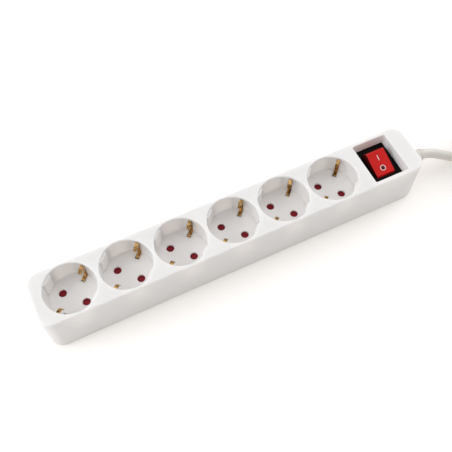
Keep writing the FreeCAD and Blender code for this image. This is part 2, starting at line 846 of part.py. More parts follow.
def rocker():
    """The red cap: its ends are arcs about the pivot, and two tubes below hold the plungers."""
    x = "switch_x"
    drum = bar("rocker_drum", "rocker_reach", (f"{x} - rocker_half", f"{x} + rocker_half"), "0", "pivot_z")
    band = block(
        "rocker_band",
        (f"{x} - rocker_half - 1", f"{x} + rocker_half + 1"),
        ("-rocker_reach - 1", "rocker_reach + 1"),
        ("pivot_z - rocker_drop", "pivot_z + rocker_rise"),
    )
    slug = common("rocker_slug", drum, band)
    cap = rounded("rocker_cap", slug, "0.6", level(size("pivot_z + rocker_rise")))
    hollow = block(
        "rocker_hollow",
        (f"{x} - rocker_half + rocker_wall", f"{x} + rocker_half - rocker_wall"),
        ("-8.2", "8.2"),
        ("pivot_z - rocker_drop - 1", "pivot_z + rocker_rise - 2.1"),
    )
    dish = bar(
        "rocker_bowl",
        "rocker_dish",
        (f"{x} - rocker_half - 1", f"{x} + rocker_half + 1"),
        "0",
        "pivot_z + rocker_rise + rocker_dish - 0.35",
    )
    poles = [f"{x} - pole_x", f"{x} + pole_x"]
    tall = ("pivot_z - tube_drop", "pivot_z + rocker_rise - 2")
    deep = ("pivot_z - tube_drop - 1", "pivot_z + 1")
    tubes = [post(f"tube_{k}", "tube", pole, "0", tall) for k, pole in enumerate(poles)]
    bores = [post(f"bore_{k}", "plunger + running", pole, "0", deep) for k, pole in enumerate(poles)]
    stubs = [
        bar("stub_low", "trunnion", (f"{x} - rocker_half - 1.1", f"{x} - rocker_half + 1"), "0", "pivot_z"),
        bar("stub_high", "trunnion", (f"{x} + rocker_half - 1", f"{x} + rocker_half + 1.1"), "0", "pivot_z"),
    ]
    skin = cut("rocker_skin", cap, [hollow, dish])
    solid = fuse("rocker_solid", [skin] + tubes + stubs)
    return node(tilted(cut("rocker_done", solid, bores + [rocker_marks("mark_seats")])), "rocker")


def rocker_inside():
    """What rides inside the rocker: the neon lamp, the two plungers and their springs."""
    x = "switch_x"
    lamp = doc.addObject("Part::Cylinder", "lamp_glass")
    bind(lamp, Radius="1.3", Height="lamp_long")
    lamp.Placement.Rotation = Rotation(Vector(1, 0, 0), -90)
    place(lamp, x, "-lamp_long / 2", "pivot_z + rocker_rise - 3.6")
    doc.recompute()
    lamp = rounded("lamp_ends", lamp, "0.9", lambda edge: isinstance(edge.Curve, Part.Circle))
    node(tilted(lamp), "neon_lamp")
    rods, coils = [], []
    for k, s in enumerate((-1, 1)):
        px = f"{x} + {s} * pole_x"
        rod = post(f"plunger_{k}", "plunger", px, "0", ("pivot_z - plunger_drop + plunger", "pivot_z - 3"))
        tip = doc.addObject("Part::Sphere", f"plunger_tip_{k}")
        bind(tip, Radius="plunger")
        place(tip, px, "0", "pivot_z - plunger_drop + plunger")
        rods.append(fuse(f"plunger_rod_{k}", [rod, tip]))
        coil = coil_spring(f"plunger_coil_{k}", "coil_ring", "coil_wire", px, "0", "pivot_z - 2.95", 10)
        coils.append(coil)
    node(tilted(group("plunger_rods", rods)), "switch_plungers")
    node(tilted(group("plunger_coils", coils)), "plunger_springs")


def seesaw(label, side):
    """A rocking contact: a bent blade on the middle terminal with a rivet at its near end."""
    blade = body(label)
    low = size("seesaw_z")
    middle = low + size("brass / 2")
    tip, lift, knee = 8, 0.9, 5.4
    spots = [(-tip, middle + lift), (-knee, middle), (knee, middle), (tip, middle + lift)]
    line = [Vector(y, z, 0) for y, z in spots]
    flank = sketch(blade, "YZ_Plane", label + "_flank", f"switch_x + {side} * pole_x")
    bent_strip(flank, line, size("brass"), size("brass"))
    pad(blade, flank, "4", midplane=True)
    ridge = sketch(blade, "YZ_Plane", label + "_ridge", f"switch_x + {side} * pole_x")
    ring(ridge, "0.5", "0", "seesaw_z + 0.2")
    pad(blade, ridge, "4", midplane=True)
    rivet = sketch(blade, "XY_Plane", label + "_rivet", "seesaw_z - 0.1")
    ring(rivet, "1.1", f"switch_x + {side} * pole_x", "-6.4")
    pad(blade, rivet, "0.9")
    centre = (size("switch_x"), 0, low)
    return turned(blade, -size("seesaw_tilt"), centre, (1, 0, 0))


def switch_terminals():
    blades = []
    for side in (-1, 1):
        for y, top in (("0", "seesaw_z - 0.7"), ("-7", "seesaw_z - 1.5")):
            x = f"switch_x + {side} * pole_x"
            name = f"blade_{side}_{y}".replace("-", "m")
            wide, thick = (f"{x} - 2.4", f"{x} + 2.4"), (f"{y} - 0.4", f"{y} + 0.4")
            blades.append(block(name, wide, thick, ("blade_low", top)))
    return node(group("blades", blades), "switch_terminals")


def cable_gland():
    """The strain relief: a collar clamped in the end wall and a tapered, grooved sleeve outside."""
    sleeve = body("cable_gland")
    half = sketch(sleeve, "XZ_Plane", "gland_half")
    bore, end = "cord + running", "length / 2"
    inside, outside = f"{end} - skin - running", f"{end} + running"
    rings = []
    for k in range(4):
        at, crest = f"{end} + 3.4 + {k} * gland_step", f"gland_root - {k} * gland_taper"
        rings += [(at, crest), (at, f"{crest} - 0.6")]
        rings += [(f"{at} + 1.1", f"{crest} - 0.7"), (f"{at} + 1.1", f"{crest} - 0.1")]
    outline(
        half,
        [
            (f"{end} - skin - 2", bore),
            (f"{end} - skin - 2", "gland_collar"),
            (inside, "gland_collar"),
            (inside, "slot - 0.1"),
            (outside, "slot - 0.1"),
            (outside, "gland_flange"),
            (f"{end} + 1.4", "gland_flange"),
            (f"{end} + 1.8", "gland_root"),
        ]
        + rings
        + [("gland_end", "gland_tip"), ("gland_end", bore)],
    )
    revolve(sleeve, half, "H_Axis")
    bind(sleeve, Placement__Base__z="exit_z")
    return sleeve


def cable_clamp():
    """The bar that two screws pull down on the cord's tail."""
    plain = block(
        "clamp_plain",
        ("clamp_x - clamp_long / 2", "clamp_x + clamp_long / 2"),
        ("-clamp_wide", "clamp_wide"),
        ("exit_z + 0.4", "clamp_top"),
    )
    soft = rounded("clamp_soft", plain, "0.8", level(size("clamp_top")))
    ends = ("clamp_x - clamp_long", "clamp_x + clamp_long")
    saddle = bar("clamp_saddle", "cord + running", ends, "0", "exit_z")
    holes = [
        post(f"clamp_hole_{k}", "screw_hole", "clamp_x", f"{s} * clamp_screw", ("exit_z", "clamp_top + 1"))
        for k, s in enumerate((-1, 1))
    ]
    return node(cut("clamp_done", soft, [saddle] + holes), "cable_clamp")


def route(points, share=0.45, words=""):
    """Straight runs joined by tangent arcs, each as large as its two runs allow."""
    points = [Vector(*p) for p in points]
    edges, start, radii = [], points[0], []
    for i in range(1, len(points) - 1):
        before, after = points[i] - points[i - 1], points[i + 1] - points[i]
        half = before.getAngle(after) / 2
        radius = share * min(before.Length, after.Length) / math.tan(half)
        into, out = Vector(before).normalize(), Vector(after).normalize()
        trim = radius * math.tan(half)
        first, last = points[i] - into * trim, points[i] + out * trim
        inward = (out - into).normalize()
        middle = points[i] + inward * (radius / math.cos(half) - radius)
        edges += [Part.LineSegment(start, first).toShape(), Part.Arc(first, middle, last).toShape()]
        radii.append(round(radius, 1))
        start = last
    edges.append(Part.LineSegment(start, points[-1]).toShape())
    print(words, "arc radii", radii)
    return Part.Wire(edges)


def tube(label, points, radius):
    """A round tube along a route, as a free shape because its arcs follow from its points."""
    path = route(points, words=label)
    value = size(radius)
    start = Vector(*points[0])
    facing = Vector(*points[1]) - start
    section = Part.Wire(Part.Circle(start, facing, value).toShape())
    obj = doc.addObject("Part::Feature", label + "_tube")
    obj.Shape = path.makePipeShell([section], True, False)
    expected = math.pi * value**2 * path.Length
    print(label, "length", round(path.Length, 1), "volume ratio", round(obj.Shape.Volume / expected, 4))
    return node(obj, label)


def wires():
    """The five conductors between the cord, the switch and the rails."""
    x, rail = size("switch_x"), size("rail_right")
    side = size("pin_side + 2.9")
    tail, z = size("tail_in") - 0.05, size("exit_z")
    pole = size("pole_x")
    low, deep = 7.4, 4.0
    near, far = x + pole + 2.45, x - pole
    tube("brown_lead", [(tail, 0, z - 2), (139.6, 0, z - 3.2), (138.4, 0, low + 2.6), (near, 0, low)], "wire")
    tube(
        "blue_lead",
        [
            (tail, 2.2, z + 1.2),
            (140.2, 5.6, z - 1),
            (139, 7.6, 10.5),
            (133.5, 8, low),
            (123.5, 7.8, low),
            (far, 0.45, low),
        ],
        "wire",
    )
    tube(
        "earth_lead",
        [
            (tail, -2.2, z + 1.2),
            (140.4, -6.8, z + 1.6),
            (139.6, -15.2, z - 1),
            (131, -17, z - 4.5),
            (121, -17, z - 5),
            (112.2, -15.2, z - 4.4),
            (108.4, -8, z - 4.4),
            (107.2, 0, size("earth_low + brass + wire") + 0.05),
        ],
        "wire",
    )
    tube(
        "brown_jumper",
        [
            (x + pole, -7.45, low),
            (x + pole - 1.4, -11.6, deep + 1.6),
            (x - 2.6, -13.2, deep),
            (x - 10.6, -7.4, deep),
            (x - 14.4, 2.6, deep),
            (x - 18.6, 7.4, deep),
            (rail - 0.6, side - 2.05, deep + 0.9),
        ],
        "wire",
    )
    tube(
        "blue_jumper",
        [
            (far - 2.45, -7, low + 1.4),
            (x - 12.6, -8.4, low + 1.5),
            (x - 17.4, -12.2, low),
            (rail - 3, -side - 2.05, low - 0.6),
        ],
        "wire",
    )


HANK_MIDDLE = (293.9, -11.0)
HANK_LOBE = 26.5
HANK_HOLLOW = 48.0
HANK_WAIST = 9.0
HANK_SPREAD = 6.5
HANK_HEIGHTS = (1.5, 30.2)
HANK_TIE_WIDTH = 12.0
HANK_TIE_THICK = 1.0
LEAD = [
    (171, 0, 20),
    (179, -1.4, 18.2),
    (188.5, -4.2, 13.8),
    (199.5, -8.4, 8.8),
    (209.5, -13.6, 5.2),
    (219.5, -20.8, 4.1),
    (229.5, -29.0, 4.1),
]
TAIL = [
    (349, -38.9, 25.2),
    (359.4, -38.2, 24.5),
    (369.5, -36.6, 22.1),
    (378.9, -33.9, 18.2),
    (387.9, -30.6, 14.0),
    (397.5, -27.5, 11.2),
    (407.7, -25.6, 10.2),
]


def cord():
    """The cord where it lies: a lead on the ground, a tied hank, and a tail up to the plug."""
    node(bar("tail_in_bar", "cord", ("tail_in", "gland_end"), "0", "exit_z"), "cable_tail")
    tube("cord_lead", LEAD, "cord")
    tube("cord_end", TAIL, "cord")
    node(hank_solid(), "cord_hank")
    node(hank_tie(), "cord_tie")


def hank_outline(grow):
    """A dog-bone of arcs: two round lobes joined by two hollow flanks."""
    lobe, hollow = HANK_LOBE + grow, HANK_HOLLOW - grow
    rise = HANK_WAIST + HANK_HOLLOW
    reach = math.sqrt((HANK_LOBE + HANK_HOLLOW) ** 2 - rise**2)
    lean = math.atan2(rise, reach)
    mx, my = HANK_MIDDLE

    def spot(cx, cy, radius, angle):
        return Vector(mx + cx + radius * math.cos(angle), my + cy + radius * math.sin(angle), 0)

    right = [spot(reach, 0, lobe, a) for a in (lean - math.pi, 0, math.pi - lean)]
    top = [spot(0, rise, hollow, a) for a in (-lean, -math.pi / 2, lean - math.pi)]
    left = [spot(-reach, 0, lobe, a) for a in (lean, math.pi, -lean)]
    bottom = [spot(0, -rise, hollow, a) for a in (math.pi - lean, math.pi / 2, lean)]
    return Part.Wire([Part.Arc(*three).toShape() for three in (right, top, left, bottom)]), reach


def hank_solid():
    """The outer shape of the folded cord, open inside its two end loops."""
    wire, reach = hank_outline(HANK_SPREAD)
    low, high = HANK_HEIGHTS
    solid = Part.Face(wire).extrude(Vector(0, 0, high - low))
    solid = solid.makeFillet(3, [edge for edge in solid.Edges if edge.BoundBox.ZLength < 0.001])
    for way in (-1, 1):
        foot = Vector(HANK_MIDDLE[0] + way * reach, HANK_MIDDLE[1], -1)
        solid = solid.cut(Part.makeCylinder(HANK_LOBE - HANK_SPREAD, high + 2, foot))
    obj = doc.addObject("Part::Feature", "hank_slab")
    obj.Shape = solid
    obj.Placement = Placement(Vector(0, 0, low), Rotation())
    return obj


def hank_tie():
    """The band round the hank's waist, which lies under it and over it."""
    mx, my = HANK_MIDDLE
    half, top = HANK_WAIST + HANK_SPREAD + 0.9, HANK_HEIGHTS[1] + 0.3
    wide, thick = HANK_TIE_WIDTH / 2, HANK_TIE_THICK
    outer = block(
        "tie_out", (mx - wide, mx + wide), (my - half - thick, my + half + thick), ("0", top + thick)
    )
    soft = rounded("tie_soft", outer, thick, lambda edge: edge.BoundBox.XLength > wide)
    inner = block("tie_in", (mx - wide - 1, mx + wide + 1), (my - half, my + half), (thick + 0.1, top))
    return cut("tie_band", soft, [inner])


def plug_body():
    """The moulded plug on its back: a broad grip, a round front with side grooves, and a boot."""
    x, y = "plug_x", "plug_y"
    grip = block(
        "grip_plain",
        (f"{x} - plug_grip", f"{x} + plug_grip"),
        (f"{y} - plug_grip", f"{y} + plug_grip"),
        ("0", "plug_neck"),
    )
    grip = rounded("grip_corners", grip, "9", upright)
    grip = rounded("grip_edges", grip, "2", lambda edge: edge.BoundBox.ZLength < 0.001)
    front = post("plug_front", "plug_front", x, y, ("plug_neck - 2", "plug_face"))
    front = rounded("plug_front_soft", front, "0.8", level(size("plug_face")))
    boot = doc.addObject("Part::Cone", "boot_cone")
    bind(boot, Radius1="4.9", Radius2="6.9", Height="plug_x - plug_grip + 1.5 - boot_start")
    boot.Placement.Rotation = Rotation(Vector(0, 1, 0), 90)
    place(boot, "boot_start", y, "boot_z")
    grooves = []
    for k in range(4):
        at = f"boot_start + 4.1 + {k} * 3.6"
        disc = bar(f"boot_ring_{k}", "8", (f"{at} - 0.6", f"{at} + 0.6"), y, "boot_z")
        core = bar(f"boot_core_{k}", f"4.7 + {k} * 0.25", (f"{at} - 1.1", f"{at} + 0.9"), y, "boot_z")
        grooves.append(cut(f"boot_groove_{k}", disc, [core]))
    bore = bar("boot_bore", "cord + running", ("boot_start - 5", "boot_start + 14"), y, "boot_z")
    sides = [
        block(
            f"earth_groove_{s}".replace("-", "m"),
            (f"{x} - 3.6", f"{x} + 3.6"),
            (f"{y} + {s} * (plug_front - 0.5) - 1.7", f"{y} + {s} * (plug_front - 0.5) + 1.7"),
            ("plug_neck + 1", "plug_face + 1"),
        )
        for s in (-1, 1)
    ]
    keys = [
        block(
            f"key_groove_{s}".replace("-", "m"),
            (f"{x} + {s} * plug_front - 2.4", f"{x} + {s} * plug_front + 2.4"),
            (f"{y} - 5.2", f"{y} + 5.2"),
            ("plug_neck + 1", "plug_face + 1"),
        )
        for s in (-1, 1)
    ]
    seat = post("bridge_seat", "plug_bridge", x, y, ("plug_face - 2.5", "plug_face + 1"))
    solid = fuse("plug_solid", [grip, front, cut("boot_sleeve", boot, grooves)])
    return node(cut("plug_done", solid, sides + keys + [seat, bore]), "plug_body")


def plug_metal():
    """The insulating bridge in the plug's face, its two pins and its two side earth strips."""
    x, y = "plug_x", "plug_y"
    spots = [f"{x} + {s} * pin_apart / 2" for s in (-1, 1)]
    bridge = post("bridge_plain", "plug_bridge - running", x, y, ("plug_face - 2.5", "plug_face - 0.3"))
    through = ("plug_face - 3", "plug_face")
    holes = [post(f"bridge_hole_{k}", "pin + running", at, y, through) for k, at in enumerate(spots)]
    holes.append(post("bridge_earth", "2.6", x, f"{y} + 10", through))
    node(cut("bridge_done", bridge, holes), "plug_bridge")
    pins = []
    for k, at in enumerate(spots):
        rod = post(f"pin_rod_{k}", "pin", at, y, ("plug_face - 2.45", "plug_face + pin_long"))
        pins.append(rounded(f"pin_tip_{k}", rod, "1.6", level(size("plug_face + pin_long"))))
    node(group("pin_pair", pins), "plug_pins")
    strips = [
        block(
            f"strip_{s}".replace("-", "m"),
            (f"{x} - 2.4", f"{x} + 2.4"),
            (f"{y} + {s} * (plug_front - 1.7) - 0.4", f"{y} + {s} * (plug_front - 1.7) + 0.4"),
            ("plug_neck + 1.6", "plug_face - 1"),
        )
        for s in (-1, 1)
    ]
    node(group("strip_pair", strips), "plug_earth_strips")


def write_parts():
    """Checks every object, then writes one STEP file per node."""
    doc.recompute()
    for obj in doc.Objects:
        if "Invalid" in obj.State or "Error" in obj.State:
            raise RuntimeError(f"{obj.Name} ({obj.Label}) did not compute: {obj.State}")
    os.makedirs("parts", exist_ok=True)
    for obj in NODES:
        shape = obj.Shape
        if shape.isNull() or not shape.isValid():
            raise RuntimeError(f"{obj.Label} has no valid shape")
        shape.exportStep(f"parts/{obj.Label}.step")
        box = shape.BoundBox
        low = f"{box.XMin:.2f} {box.YMin:.2f} {box.ZMin:.2f}"
        high = f"{box.XMax:.2f} {box.YMax:.2f} {box.ZMax:.2f}"
        print(f"{obj.Label}: {len(shape.Solids)} solids, {shape.Volume:.1f} mm3, {low} to {high}")


fill_sheet()
top_cover()
base_plate()
screw_body("housing_screws", boss_spots(), "screw_seat - 2", "screw_head", "pilot - running", "13.2", up=True)
inner_frame()
for number in SOCKETS:
    shutter(number)
shutter_springs()
rail("live_rail", 1)
rail("neutral_rail", -1)
earth_rail()
for number in SOCKETS:
    earth_clip(number)
switch_frame()
rocker()
node(tilted(rocker_marks("mark_inlays")), "rocker_marks")
rocker_inside()
seesaw("seesaw_live", 1)
seesaw("seesaw_neutral", -1)
switch_terminals()
cable_gland()
cable_clamp()
clamp_spots = [("clamp_x", "-clamp_screw"), ("clamp_x", "clamp_screw")]
screw_body("clamp_screws", clamp_spots, "clamp_top + 2", "2.4", "pilot - running", "15", up=False)
wires()
cord()
plug_body()
plug_metal()
write_parts()
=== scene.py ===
import json
import math

import bpy
from mathutils import Matrix, Vector


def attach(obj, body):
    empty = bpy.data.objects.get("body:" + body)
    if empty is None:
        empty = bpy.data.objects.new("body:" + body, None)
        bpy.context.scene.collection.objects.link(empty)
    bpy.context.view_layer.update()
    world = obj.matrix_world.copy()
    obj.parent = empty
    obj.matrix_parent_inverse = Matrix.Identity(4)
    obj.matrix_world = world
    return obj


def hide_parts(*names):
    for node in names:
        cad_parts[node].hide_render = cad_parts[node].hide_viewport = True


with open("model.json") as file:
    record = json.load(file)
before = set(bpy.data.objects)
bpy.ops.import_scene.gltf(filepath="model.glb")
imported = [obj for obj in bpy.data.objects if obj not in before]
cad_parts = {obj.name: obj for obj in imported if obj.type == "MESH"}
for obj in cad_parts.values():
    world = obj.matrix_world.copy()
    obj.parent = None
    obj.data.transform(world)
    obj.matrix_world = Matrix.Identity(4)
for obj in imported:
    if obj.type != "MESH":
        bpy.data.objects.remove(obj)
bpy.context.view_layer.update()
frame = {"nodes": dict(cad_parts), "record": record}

# A power strip with six sockets and a switch. Lengths are in metres, unless a comment says otherwise.

MM = 0.001
NODES = frame["nodes"]

# ---------------------------------------------------------------- camera

# The lens and the sensor are in millimetres, as Blender counts them.
CAMERA_PLACE = Vector((-105.97, -210.54, 459.35)) * MM
CAMERA_TARGET = Vector((-8.085, -2.799, 42.05)) * MM
CAMERA_ROLL = math.radians(-0.29)
CAMERA_LENS = 51.81
CAMERA_SENSOR = 36
CAMERA_NEAREST = 10 * MM


def add_camera():
    """The photograph's viewing angle: from the near left, looking well down."""
    data = bpy.data.cameras.new("camera")
    data.lens = CAMERA_LENS
    data.sensor_width = CAMERA_SENSOR
    data.clip_start = CAMERA_NEAREST
    camera = bpy.data.objects.new("camera", data)
    bpy.context.scene.collection.objects.link(camera)
    back = (CAMERA_PLACE - CAMERA_TARGET).normalized()
    right = Vector((0, 0, 1)).cross(back).normalized()
    up = back.cross(right)
    turn = Matrix((right, up, back)).transposed().to_4x4() @ Matrix.Rotation(CAMERA_ROLL, 4, "Z")
    camera.matrix_world = Matrix.Translation(CAMERA_PLACE) @ turn
    bpy.context.scene.camera = camera


# ---------------------------------------------------------------- cord

CORD = 8 * MM

# How finely the cord is drawn, along each span of its spline and round it.
SPAN_STEPS = 8
ROUND_STEPS = 6

# The cord's route in millimetres, from the gland to the hank and from the hank to the plug.
LEAD = [
    (171, 0, 20),
    (179, -1.4, 18.2),
    (188.5, -4.2, 13.8),
    (199.5, -8.4, 8.8),
    (209.5, -13.6, 5.2),
    (219.5, -20.8, 4.1),
    (229.5, -29.0, 4.1),
]
TAIL = [
    (349, -38.9, 25.2),
    (359.4, -38.2, 24.5),
    (369.5, -36.6, 22.1),
    (378.9, -33.9, 18.2),
    (387.9, -30.6, 14.0),
    (397.5, -27.5, 11.2),
    (407.7, -25.6, 10.2),
]

# The hank's plan in millimetres: its middle, the radii of its end loops and of its hollow sides,
# half its waist, the sideways shift from turn to turn, and where the lead joins the left loop.
HANK_MIDDLE = (293.9, -11.0)
LOBE = 26.5
HOLLOW = 48.0
WAIST = 9.0
STAGGER = 2.0
ENTRY = math.radians(230)

# The hank's points: how many to a turn, which is the first, and the last after three turns and a third.
STEPS = 48
FIRST_STEP = 2
LAST_STEP = 3 * STEPS + STEPS // 3

# The hank's heights in millimetres: its lowest turn, the step to the next, the lift where a turn climbs
# over another, and the lift at the tie with how far that spreads.
BOTTOM = 4.1
NEXT_TURN = 7.0
CROSSING_LIFT = 1.25
TIE_LIFT = 1.2
TIE_SPREAD = 11

# Shares of a turn: its half, where the climb to the next level starts and how long it takes, how long the
# lift over the crossing takes to settle in the next turn, and where the cord changes sides and for how long.
HALF_TURN = 0.5
CLIMB_FROM = 0.68
CLIMB_FOR = 0.14
SETTLE_FOR = 0.09
SWAP_FROM = 0.82
SWAP_FOR = 0.18


def ease(x):
    """From 0 to 1, flat at both ends."""
    x = min(max(x, 0), 1)
    return x * x * (3 - 2 * x)


def hank_plan():
    """The dog-bone that each turn follows, as arcs: centre, start and end angle, radius, side."""
    rise = WAIST + HOLLOW
    reach = math.sqrt((LOBE + HOLLOW) ** 2 - rise**2)
    lean = math.atan2(rise, reach)
    return [
        (-reach, 0, ENTRY, 2 * math.pi - lean, LOBE, 1),
        (0, -rise, math.pi - lean, lean, HOLLOW, -1),
        (reach, 0, lean - math.pi, math.pi - lean, LOBE, 1),
        (0, rise, -lean, lean - math.pi, HOLLOW, -1),
        (-reach, 0, lean, ENTRY, LOBE, 1),
    ]


def hank_place(share, out):
    """The point at a share of one turn, moved outwards, in millimetres."""
    plan = hank_plan()
    run = share * sum(abs(end - start) * radius for _, _, start, end, radius, _ in plan)
    for x, y, start, end, radius, side in plan:
        length = abs(end - start) * radius
        if run <= length:
            break
        run -= length
    angle = start + (end - start) * run / length
    reach = radius + side * out
    return HANK_MIDDLE[0] + x + reach * math.cos(angle), HANK_MIDDLE[1] + y + reach * math.sin(angle)


def hank_points():
    """Three turns and a third, each in the groove beside the last and climbing over it at the left loop.

    The lift over the crossing comes with the climb, and goes again early in the next turn."""
    points = []
    for step in range(FIRST_STEP, LAST_STEP + 1):
        turn, share = divmod(step / STEPS, 1)
        climb = ease((share - CLIMB_FROM) / CLIMB_FOR)
        crossing = climb if share > HALF_TURN else 1 - ease(share / SETTLE_FOR)
        side = 1 if turn % 2 else -1
        out = side * STAGGER * (1 - 2 * ease((share - SWAP_FROM) / SWAP_FOR))
        x, y = hank_place(share, out)
        over_tie = math.exp(-(((x - HANK_MIDDLE[0]) / TIE_SPREAD) ** 2))
        height = BOTTOM + (turn + climb) * (NEXT_TURN + CROSSING_LIFT * crossing) + TIE_LIFT * over_tie
        points.append((x, y, height))
    return points


def add_cord():
    """The whole cord on one smooth spline: lead, hank and tail.

    Its thickness is the radius of its points, so its bevel is 1."""
    data = bpy.data.curves.new("cord", "CURVE")
    data.dimensions = "3D"
    spline = data.splines.new("NURBS")
    route = LEAD + hank_points() + TAIL
    spline.points.add(len(route) - 1)
    for point, place in zip(spline.points, route):
        point.co = (*(value * MM for value in place), 1)
        point.radius = CORD / 2
    spline.order_u = 3
    spline.use_endpoint_u = True
    spline.resolution_u = SPAN_STEPS
    data.bevel_depth = 1
    data.bevel_resolution = ROUND_STEPS
    data.use_fill_caps = True
    cord = bpy.data.objects.new("supply_cord", data)
    bpy.context.scene.collection.objects.link(cord)
    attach(cord, "housing")
    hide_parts("cord_lead", "cord_hank", "cord_end")
    return cord


# ---------------------------------------------------------------- materials

# The share of a noise's range that is put to use, for most of its values lie in the middle.
NOISE_LOW = 0.3
NOISE_HIGH = 0.7

# How many finer layers each noise has, how much finer the gloss is mottled than the colour, and how
# strong the moulded grain is.
CLOUD_DETAIL = 4
SMEAR_DETAIL = 3
GRAIN_DETAIL = 2
SCRATCH_DETAIL = 3
SMEARS_TO_CLOUDS = 3
GRAIN_STRENGTH = 0.35

# Scratches of brushed metal: how many to the metre, how deep and how strong, and the scales of their
# noise in X, Y and Z, which draw them out along Z.
SCRATCHES = 9000
SCRATCH_DEPTH = 0.01 * MM
SCRATCH_STRENGTH = 0.25
ALONG_Z = (1, 1, 0.04)
ALONG_PIN = (1, 1, 0.05)

# Stripes of the earth wire: the wave's scale, which gives a pair of stripes every 2.6 mm, and the
# height of the wave at which one colour changes to the other.
STRIPE_SCALE = 120
STRIPE_LEVEL = 0.5

# The dark spot inside the off mark's ring is painted shade.
# The middle of the off mark on the rocker and the radius inside its ring, in metres,
# and how much of that radius the spot's edge is blended over.
OFF_MARK = (0.126, -0.0062, 0.0369)
OFF_SHADE_SPOT = 0.00172
SPOT_EDGE = 0.05

# The two colours mottled together on the cord and the plug.
PALE_PVC = (0.83, 0.785, 0.74)
SHADED_PVC = (0.79, 0.75, 0.705)


def noise(tree, place, scale, detail):
    """A noise texture in the object's own metres."""
    made = tree.nodes.new("ShaderNodeTexNoise")
    made.inputs["Scale"].default_value = scale
    made.inputs["Detail"].default_value = detail
    tree.links.new(place, made.inputs["Vector"])
    return made.outputs["Fac"]


def spread(tree, value, low, high):
    """Maps the middle of a noise's range onto low to high."""
    made = tree.nodes.new("ShaderNodeMapRange")
    made.inputs["From Min"].default_value = NOISE_LOW
    made.inputs["From Max"].default_value = NOISE_HIGH
    made.inputs["To Min"].default_value = low
    made.inputs["To Max"].default_value = high
    tree.links.new(value, made.inputs["Value"])
    return made.outputs["Result"]


def blend_colours(tree, share, one, two):
    """Mixes two colours, each a constant or another node's output: one at share 0, two at share 1."""
    made = tree.nodes.new("ShaderNodeMix")
    made.data_type = "RGBA"
    tree.links.new(share, made.inputs["Factor"])
    for socket, value in ((made.inputs["A"], one), (made.inputs["B"], two)):
        if isinstance(value, bpy.types.NodeSocket):
            tree.links.new(value, socket)
        else:
            socket.default_value = (*value, 1)
    return made.outputs["Result"]


def relief(tree, height, strength, distance, below=None):
    """A bump from a height, on top of another bump if one is given."""
    made = tree.nodes.new("ShaderNodeBump")
    made.inputs["Strength"].default_value = strength
    made.inputs["Distance"].default_value = distance
    tree.links.new(height, made.inputs["Height"])
    if below is not None:
        tree.links.new(below, made.inputs["Normal"])
    return made.outputs["Normal"]


def material(name, colour, shade, rough, mottle=60, grain=2500, depth=0.02, **shader):
    """A principled finish: two colours mottled together, uneven gloss and a fine moulded grain.

    mottle and grain are in features per metre, and depth is the grain's height in millimetres."""
    made = bpy.data.materials.new(name)
    made.use_nodes = True
    tree = made.node_tree
    bsdf = tree.nodes["Principled BSDF"]
    place = tree.nodes.new("ShaderNodeTexCoord").outputs["Object"]
    clouds = noise(tree, place, mottle, CLOUD_DETAIL)
    tree.links.new(blend_colours(tree, spread(tree, clouds, 0, 1), colour, shade), bsdf.inputs["Base Color"])
    smears = noise(tree, place, mottle * SMEARS_TO_CLOUDS, SMEAR_DETAIL)
    tree.links.new(spread(tree, smears, rough[0], rough[1]), bsdf.inputs["Roughness"])
    grains = noise(tree, place, grain, GRAIN_DETAIL)
    tree.links.new(relief(tree, grains, GRAIN_STRENGTH, depth * MM), bsdf.inputs["Normal"])
    for socket, value in shader.items():
        bsdf.inputs[socket.replace("_", " ")].default_value = value
    return made


def brushed(name, colour, shade, rough, stretch=ALONG_Z, mottle=220):
    """A metal with fine scratches drawn along one direction."""
    made = material(name, colour, shade, rough, mottle=mottle, grain=4000, depth=0.01, Metallic=1.0)
    tree = made.node_tree
    place = tree.nodes["Texture Coordinate"].outputs["Object"]
    mapping = tree.nodes.new("ShaderNodeMapping")
    mapping.inputs["Scale"].default_value = stretch
    tree.links.new(place, mapping.inputs["Vector"])
    lines = noise(tree, mapping.outputs["Vector"], SCRATCHES, SCRATCH_DETAIL)
    fine = relief(tree, lines, SCRATCH_STRENGTH, SCRATCH_DEPTH, tree.nodes["Bump"].outputs["Normal"])
    tree.links.new(fine, tree.nodes["Principled BSDF"].inputs["Normal"])
    return made


def banded(name, one, two, rough):
    """Stripes of two colours across X, as on an earth wire."""
    made = material(name, one, one, rough)
    tree = made.node_tree
    wave = tree.nodes.new("ShaderNodeTexWave")
    wave.bands_direction = "X"
    wave.inputs["Scale"].default_value = STRIPE_SCALE
    tree.links.new(tree.nodes["Texture Coordinate"].outputs["Object"], wave.inputs["Vector"])
    step = tree.nodes.new("ShaderNodeMath")
    step.operation = "GREATER_THAN"
    step.inputs[1].default_value = STRIPE_LEVEL
    tree.links.new(wave.outputs["Fac"], step.inputs[0])
    stripes = blend_colours(tree, step.outputs["Value"], one, two)
    tree.links.new(stripes, tree.nodes["Principled BSDF"].inputs["Base Color"])
    return made


def add_painted_shade_spot(made, centre, radius, colour):
    """Paints a round spot of shade in another colour, centred on a point of the object."""
    tree = made.node_tree
    base = tree.nodes["Principled BSDF"].inputs["Base Color"]
    away = tree.nodes.new("ShaderNodeVectorMath")
    away.operation = "DISTANCE"
    tree.links.new(tree.nodes["Texture Coordinate"].outputs["Object"], away.inputs[0])
    away.inputs[1].default_value = centre
    share = tree.nodes.new("ShaderNodeMapRange")
    share.inputs["From Min"].default_value = radius * (1 - SPOT_EDGE)
    share.inputs["From Max"].default_value = radius * (1 + SPOT_EDGE)
    tree.links.new(away.outputs["Value"], share.inputs["Value"])
    around = base.links[0].from_socket
    tree.links.new(blend_colours(tree, share.outputs["Result"], colour, around), base)


